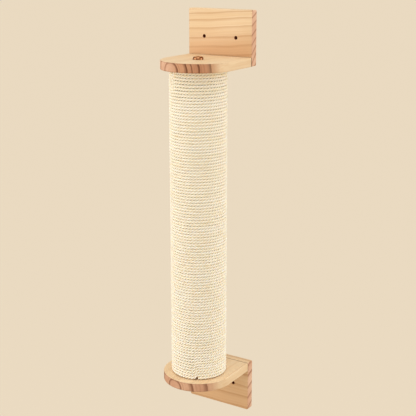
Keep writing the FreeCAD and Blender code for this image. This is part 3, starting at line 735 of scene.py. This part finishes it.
rope = [run_tree(name, ROPE_TREE, {
    "First turn": float(first), "Last turn": float(last), "Turns": ROPE_TURNS,
    "Rings per turn": float(RINGS_PER_TURN), "Post radius": post_radius,
    "Rope radius": ROPE_RADIUS, "Row height": row_height, "Lay": ROPE_LAY, "Seed": 7.0,
    "Foot": (post_axis.x, post_axis.y, post_foot + ROPE_LIFT), "Material": SISAL})
    for name, first, last in PIECES]

# %% [markdown]
# No rope of leaf fibre is smooth: broken fibres stand off it everywhere, and they soften its
# outline. A second tree scatters short bent hairs over the outer side of the winding. Each hair
# lies along the rope and lifts its tip, and each has only a few faces, because there are
# thousands of them.


# %% The tree that scatters loose fibres
def fibre_tree():
    tree = bpy.data.node_groups.new("scatter loose fibres", "GeometryNodeTree")
    open_sockets(tree, "Geometry", ["Geometry"])
    open_sockets(tree, "Float", ["Per square metre", "Length", "Thickness", "Lift", "Clear foot",
                                 "Clear head"])
    open_sockets(tree, "Vector", ["Axis"])
    open_sockets(tree, "Int", ["Seed"])
    open_sockets(tree, "Material", ["Material"])
    open_sockets(tree, "Geometry", ["Geometry"], "OUTPUT")
    given = given_to(tree)

    def vector(operation, *values):
        return add(tree, "ShaderNodeVectorMath", enumerate(values), operation=operation)

    # outwards from the post, and along the winding
    place = add(tree, "GeometryNodeInputPosition")
    away = vector("MULTIPLY", vector("SUBTRACT", place, given["Axis"]), (1.0, 1.0, 0.0))
    away = vector("NORMALIZE", away)
    forward = vector("CROSS_PRODUCT", (0.0, 0.0, 1.0), away)
    facing = vector("DOT_PRODUCT", add(tree, "GeometryNodeInputNormal"), away)
    level = split(tree, place)[2]
    free = Flow(tree, facing.outputs["Value"]).math("GREATER_THAN", 0.35)
    free = free * level.math("GREATER_THAN", given["Clear foot"])
    free = free * level.math("LESS_THAN", given["Clear head"])
    points = add(tree, "GeometryNodeDistributePointsOnFaces", {"Mesh": given["Geometry"],
                 "Selection": free, "Density": given["Per square metre"], "Seed": given["Seed"]})

    # one hair: a bent line with a triangular section
    hair = add(tree, "GeometryNodeCurveQuadraticBezier", {"Resolution": 4, "Start": (0, 0, -0.03),
               "Middle": (0.55, 0.0, 0.0), "End": (1.0, 0.12, 0.3)})
    section = add(tree, "GeometryNodeCurvePrimitiveCircle", {"Resolution": 3,
                  "Radius": given["Thickness"] / given["Length"]})
    hair = add(tree, "GeometryNodeCurveToMesh", {"Curve": hair, "Profile Curve": section,
               "Fill Caps": True})

    # its direction: along the winding either way, a little up or down, and out by its lift
    def chance(seed, low, high):
        made = add(tree, "FunctionNodeRandomValue", {"Seed": seed, 2: low, 3: high},
                   data_type="FLOAT")
        return Flow(tree, made.outputs[1])

    side = chance(3, 0.0, 1.0).math("GREATER_THAN", 0.5) * 2.0 - 1.0
    either_way = add(tree, "ShaderNodeVectorMath", {0: forward, 3: side}, operation="SCALE")
    ahead = vector("ADD", either_way, add(tree, "ShaderNodeCombineXYZ", {2: chance(4, -0.5, 0.5)}))
    turned = add(tree, "FunctionNodeAxesToRotation", {0: ahead, 1: away}, primary_axis="X",
                 secondary_axis="Z")
    size = add(tree, "ShaderNodeCombineXYZ", {
        0: chance(5, 0.45, 1.0) * given["Length"], 1: given["Length"],
        2: chance(6, 0.2, 1.0) * given["Lift"]})
    hairs = add(tree, "GeometryNodeInstanceOnPoints", {"Points": points, "Instance": hair,
                "Rotation": turned, "Scale": size})
    hairs = add(tree, "GeometryNodeRealizeInstances", {0: hairs})
    hairs = add(tree, "GeometryNodeSetShadeSmooth", {0: hairs})
    hairs = add(tree, "GeometryNodeSetMaterial", {0: hairs, "Material": given["Material"]})
    add(tree, "NodeGroupOutput", {0: hairs})
    return tree


FIBRE_TREE = fibre_tree()
print("fibre tree:", len(FIBRE_TREE.nodes), "nodes")


# %% Loose fibres, and their own pale finish
def hair_finish():
    material, tree, shader = new_finish("loose sisal fibre")
    shades = noise(tree, add(tree, "ShaderNodeTexCoord").outputs["Object"], 160.0, 2.0)
    colour = blend(tree, shades.ramp(-0.15, 0.15), tone(252, 240, 214), tone(232, 208, 166))
    plug(tree, shader, {"Base Color": colour, "Roughness": shades * 0.2 + 0.6})
    return material


HAIR = hair_finish()
FIBRE_CLEAR = 3 * MM        # no fibre grows this near to a shelf
hairs = [run_tree(f"rope_fibres_{k}", FIBRE_TREE, {
    "Per square metre": 20000.0, "Length": 6.5 * MM, "Thickness": 0.09 * MM, "Lift": 4.5 * MM,
    "Clear foot": post_foot + FIBRE_CLEAR, "Clear head": post_head - FIBRE_CLEAR, "Seed": k,
    "Axis": tuple(post_axis), "Material": HAIR}, piece.data) for k, piece in enumerate(rope)]

# %% [markdown]
# ## The furniture bolts
# The bolt's broad head is a low dome with a hexagon socket for the key. The bolt is turned on a
# lathe, so its mesh is one profile carried round an axis. Only the socket isn't round: near it,
# each ring's radius follows a hexagon. The thread is the same profile again, with its radius
# rising and falling along a screw line.

# %% The bolt's measures
HEAD_HEIGHT, HEAD_EASE, DOME_STEPS = 6 * MM, 4.4 * MM, 10
SOCKET_FLATS, SOCKET_DEPTH = 5 * MM, 3 * MM
SHANK_RADIUS, PLAIN_SHANK = 3.55 * MM, 12 * MM
THREAD_PITCH, THREAD_SWELL, THREAD_SINK = 1.25 * MM, 0.14 * MM, 0.1 * MM
RINGS_PER_PITCH = 6
BOLT_SIDES = 48


def hexagon(angle, extra=0.0):
    """The socket's reach at an angle."""
    return (SOCKET_FLATS / 2 + extra) / math.cos((angle % (math.pi / 3)) - math.pi / 6)


def thread(depth):
    """The thread's radius at an angle, at a depth below the head's top."""
    return lambda angle: (SHANK_RADIUS - THREAD_SINK
                          + THREAD_SWELL * math.cos(math.tau * depth / THREAD_PITCH - angle))


# %% A bolt
def bolt_profile(head, length):
    """From the socket's floor out and down to the tip: a radius, or a rule for it, and a level."""
    rings = [(lambda a: hexagon(a) * 0.5, -SOCKET_DEPTH - 0.4 * MM), (hexagon, -SOCKET_DEPTH),
             (hexagon, -0.3 * MM), (lambda a: hexagon(a, 0.25 * MM), -0.05 * MM),
             (lambda a: hexagon(a, 0.4 * MM), 0.0), (head - HEAD_EASE - 0.3 * MM, 0.0)]
    for k in range(DOME_STEPS + 1):
        dome = HEAD_EASE * spoke(90 * k / DOME_STEPS)
        rings.append((head - HEAD_EASE + dome.y, dome.x - HEAD_EASE))
    under = -HEAD_HEIGHT
    rings += [(head, under + 0.3 * MM), (head - 0.3 * MM, under),
              (SHANK_RADIUS + 0.4 * MM, under), (SHANK_RADIUS, under - 0.3 * MM),
              (SHANK_RADIUS, under - PLAIN_SHANK)]
    start, step = HEAD_HEIGHT + PLAIN_SHANK + 0.2 * MM, THREAD_PITCH / RINGS_PER_PITCH
    depths = [start + k * step for k in range(int((length - start - 1.5 * MM) / step))]
    rings += [(thread(depth), -depth) for depth in depths]
    return rings + [(SHANK_RADIUS - 0.25 * MM, 1 * MM - length), (SHANK_RADIUS - 1 * MM, -length)]


def build_bolt(name, node, up):
    """up is 1 where the head looks up and -1 where it looks down."""
    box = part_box(node)
    head, length = (box[1][0] - box[0][0]) / 2, box[1][2] - box[0][2]
    angles = [math.tau * k / BOLT_SIDES for k in range(BOLT_SIDES)]
    mesh = bmesh.new()
    loops = []
    for radius, level in bolt_profile(head, length):
        reach = [radius(a) if callable(radius) else radius for a in angles]
        loops.append([mesh.verts.new((r * math.cos(a), r * math.sin(a), level))
                      for r, a in zip(reach, angles)])
    for upper, lower in zip(loops, loops[1:]):
        for k in range(BOLT_SIDES):
            mesh.faces.new((upper[k - 1], lower[k - 1], lower[k], upper[k]))
    mesh.faces.new(loops[0])
    mesh.faces.new(loops[-1][::-1])
    top = box[1][2] if up > 0 else box[0][2]
    flip = Matrix.Rotation(0 if up > 0 else math.pi, 4, "X")
    place = Matrix.Translation((post_axis.x, post_axis.y, top)) @ flip
    return finished(name, mesh, place, sharp=42)


upper_bolt = build_bolt("upper_furniture_bolt", "upper_post_bolt", 1)
lower_bolt = build_bolt("lower_furniture_bolt", "lower_post_bolt", -1)

# %% [markdown]
# ## Metal, card and plug wood
# The furniture bolts are bronzed: a dark brown oxide. The head's flat top gets a painted
# highlight, and the inside of the socket a painted shade, nearly black. The screws, nails and nuts
# that hide in the wood are zinc plated. The tube is grey board, rolled at a slant. All of these but
# the bolts are the model's own solids, with a better finish.


# %% Finishes of the metal pieces
def metal(name, dull, bright, roughness, scale):
    """A metal with patches between a dull and a bright tone, and a fine grain."""
    material, tree, shader = new_finish(name)
    where = add(tree, "ShaderNodeTexCoord").outputs["Object"]
    patches = noise(tree, where, scale, 4.0, 0.6)
    grain = noise(tree, where, scale * 9, 2.0)
    plug(tree, shader, {
        "Base Color": blend(tree, patches.ramp(-0.12, 0.16), tone(*dull), tone(*bright)),
        "Roughness": patches * -0.25 + grain * 0.15 + roughness,
        "Normal": relief(tree, grain, 0.15, 0.1 * MM), "Metallic": 1.0})
    return material


def bolt_finish():
    """Bronzed steel, with a painted highlight on the head's flat top and painted shade, nearly
    black, in its socket.
    """
    material = metal("bronzed steel", (124, 70, 38), (206, 156, 118), 0.24, 240.0)
    tree = material.node_tree
    shader = tree.nodes["Principled BSDF"]
    where = add(tree, "ShaderNodeTexCoord").outputs
    x, y, _ = split(tree, add(tree, "ShaderNodeVectorMath", {0: where["Object"],
                    1: tuple(post_axis)}, operation="SUBTRACT"))
    off_axis = (x * x + y * y).math("SQRT")
    # painted highlight: faces that look straight up or down, such as the head's flat top, get
    # bright tones
    flat = split(tree, where["Normal"])[2].math("ABSOLUTE").ramp(0.86, 0.99)
    dull = shader.inputs["Base Color"].links[0].from_socket
    highlight_mottle = noise(tree, where["Object"], 420.0, 3.0, 0.6)
    bright = blend(tree, highlight_mottle.ramp(-0.2, 0.2), tone(250, 214, 176), tone(226, 176, 132))
    colour = blend(tree, flat, dull, bright)
    # painted shade: near the axis, inside the socket, the colour turns nearly black
    painted_socket_shade = off_axis.ramp(2.9 * MM, 3.7 * MM, 0.9, 0.0)
    plug(tree, shader, {"Base Color": blend(tree, painted_socket_shade, colour, tone(52, 26, 12))})
    return material


# %% Finishes of the tube and its plugs, and who gets which
def soft_board(name, pale, dark, slant, scale):
    """Card or plain wood: fibres stretched by the slant, and soft patches."""
    material, tree, shader = new_finish(name)
    where = add(tree, "ShaderNodeTexCoord").outputs["Object"]
    turned = add(tree, "ShaderNodeMapping", {"Vector": where, "Scale": slant})
    fibres = noise(tree, turned, scale, 4.0, 0.7)
    patches = noise(tree, where, 40.0, 2.0)
    mottle = (fibres + patches * 0.6).ramp(-0.2, 0.25)
    plug(tree, shader, {"Base Color": blend(tree, mottle, tone(*pale), tone(*dark)),
                        "Roughness": fibres * 0.2 + 0.78,
                        "Normal": relief(tree, fibres, 0.3, 0.2 * MM)})
    return material


BRONZE = bolt_finish()
ZINC = metal("zinc plate", (168, 172, 178), (206, 208, 212), 0.34, 300.0)
CARD = soft_board("rolled grey board", (150, 118, 84), (112, 84, 56), (1, 1, 0.15), 900.0)
PLUG = soft_board("plug wood", (222, 188, 142), (186, 146, 100), (1, 1, 12), 120.0)
FINISH_OF = {ZINC: ("upper_tee_nut", "lower_tee_nut", "upper_plug_nails", "lower_plug_nails",
                    "upper_shelf_screws", "lower_shelf_screws"),
             CARD: ("post_tube",), PLUG: ("upper_end_plug", "lower_end_plug")}
for bolt in (upper_bolt, lower_bolt):
    bolt.data.materials.append(BRONZE)
for material, nodes in FINISH_OF.items():
    for node in nodes:
        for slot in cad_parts[node].material_slots:
            slot.material = material
        print(node, "->", material.name, len(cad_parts[node].data.polygons), "faces")

# %% [markdown]
# ## Who stands for what
# The frame needs to know which body each piece rides on, which of the model's solids it
# replaces, and which slot its finish belongs to. Nothing moves here, so there is
# one body, the root. The loose fibres are extra, so they replace nothing.

# %% Pieces, bodies and slots
STANDS_FOR = {"rope_lower_coils": "rope_lower_turns", "rope_upper_coils": "rope_upper_turns"}
dressed = [(upper_plate, "upper_wall_plate", "pine"), (lower_plate, "lower_wall_plate", "pine"),
           (upper_shelf, "upper_shelf", "pine"), (lower_shelf, "lower_shelf", "pine")]
dressed += [(piece, STANDS_FOR.get(piece.name, "rope_middle"), "sisal") for piece in rope]
dressed += [(piece, None, "sisal") for piece in hairs]
dressed += [(upper_bolt, "upper_post_bolt", "bronze"), (lower_bolt, "lower_post_bolt", "bronze")]
for piece, node, slot in dressed:
    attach(piece, "root")
    if node is not None:
        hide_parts(node)
print("pieces:", len(dressed))

# %% [markdown]
# ## The studio
# The photograph was cut out and laid on one flat beige. A floor far below and the world behind
# it give that beige straight to the camera and to reflections, while the floor still takes a
# little of the real light, and so the object's shadow.

# %% Floor and world
BEIGE = tone(234, 218, 193)
FLOOR_HALF, FLOOR_LEVEL = 60.0, -2.6
FLOOR_PLAIN = 0.9           # the share of the floor that is plain beige; the rest takes the light
FLOOR_GLOW = 1.022          # makes up for the light that this rest doesn't give back


def looked_at(tree):
    """1 for what the camera, a gloss or a glass sees, and 0 for the light on the object."""
    rays = add(tree, "ShaderNodeLightPath").outputs
    seen = Flow(tree, rays["Is Camera Ray"]).math("MAXIMUM", rays["Is Glossy Ray"])
    return seen.math("MAXIMUM", rays["Is Transmission Ray"])


def studio_floor():
    corners = [(x * FLOOR_HALF, y * FLOOR_HALF, FLOOR_LEVEL)
               for x, y in ((-1, -1), (1, -1), (1, 1), (-1, 1))]
    made = bpy.data.meshes.new("studio_floor")
    made.from_pydata(corners, [], [(0, 1, 2, 3)])
    material = bpy.data.materials.new("studio paper")
    material.use_nodes = True
    tree = material.node_tree
    tree.nodes.clear()
    plain = add(tree, "ShaderNodeEmission", {"Color": BEIGE, "Strength": FLOOR_GLOW})
    paper = add(tree, "ShaderNodeBsdfDiffuse", {"Color": BEIGE})
    mixed = add(tree, "ShaderNodeMixShader", {0: looked_at(tree) * FLOOR_PLAIN, 1: paper,
                2: plain})
    add(tree, "ShaderNodeOutputMaterial", {0: mixed})
    made.materials.append(material)
    in_scene("studio_floor", made)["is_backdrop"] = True


def studio_world(strength):
    world = bpy.data.worlds.new("studio")
    bpy.context.scene.world = world
    world.use_nodes = True
    tree = world.node_tree
    tree.nodes.clear()
    light = add(tree, "ShaderNodeBackground", {"Color": (1.0, 0.985, 0.96, 1.0),
                "Strength": strength})
    plain = add(tree, "ShaderNodeBackground", {"Color": BEIGE, "Strength": 1.0})
    mixed = add(tree, "ShaderNodeMixShader", {0: looked_at(tree), 1: light, 2: plain})
    add(tree, "ShaderNodeOutputWorld", {0: mixed})


studio_floor()
studio_world(0.78)
print("studio ready")

# %% [markdown]
# ## Lamps
# Two tall soft boxes stand left and right of the post, the left one stronger, so the rope is
# bright at both sides and a little deeper in between. A third one above lights the boards' tops.


# %% Soft boxes
def stand_round(target, name, data, azimuth, elevation, distance):
    """Puts a lamp or a camera round a target and turns it there. Azimuth 0 is in front of the
    wall and 90 to its right. All angles are degrees."""
    a, e = math.radians(azimuth), math.radians(elevation)
    offset = distance * Vector((math.sin(a) * math.cos(e), -math.cos(a) * math.cos(e),
                                math.sin(e)))
    made = in_scene(name, data)
    made.location = Vector(target) + offset
    made.rotation_euler = offset.to_track_quat("Z", "Y").to_euler()
    return made


def soft_box(name, azimuth, elevation, distance, size, power):
    data = bpy.data.lights.new(name, "AREA")
    data.shape = "RECTANGLE"
    data.size, data.size_y = size
    data.energy = power
    centre = (post_axis.x, post_axis.y, (post_foot + post_head) / 2)
    stand_round(centre, name, data, azimuth, elevation, distance)
    print(f"{name}: {power} W")


soft_box("left soft box", -40, 10, 2.2, (0.9, 1.8), 20)
soft_box("right soft box", 108, 10, 2.2, (0.9, 1.8), 16.5)
soft_box("top soft box", 20, 68, 2.4, (1.4, 1.4), 11)

# %% [markdown]
# ## The camera
# The photograph's camera was worked out from the object's known edges: it stands to the right,
# a little above the middle, about 1.85 m away, with a long lens.

# %% Camera
CAMERA_AZIMUTH, CAMERA_ELEVATION, CAMERA_DISTANCE = 32.363, 15.312, 1.845273
CAMERA_TARGET = (0.021561, -0.093, -0.314728)
camera_data = bpy.data.cameras.new("photograph")
camera_data.lens, camera_data.sensor_width = 83.987, 36.0
camera_data.clip_end = 300.0
camera = stand_round(CAMERA_TARGET, "photograph", camera_data, CAMERA_AZIMUTH, CAMERA_ELEVATION,
                     CAMERA_DISTANCE)
bpy.context.scene.camera = camera
print("camera at", [round(c, 3) for c in camera.location])

# %% [markdown]
# ## Last look
# The two boxes, of the engineering model and of what is shown, are written side by side.

# %% Sizes, and the end
visual_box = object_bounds()
for name, box in (("cad", cad_box), ("visual", visual_box)):
    print(name, [round((high - low) * 1000, 1) for low, high in zip(*box)], "mm")
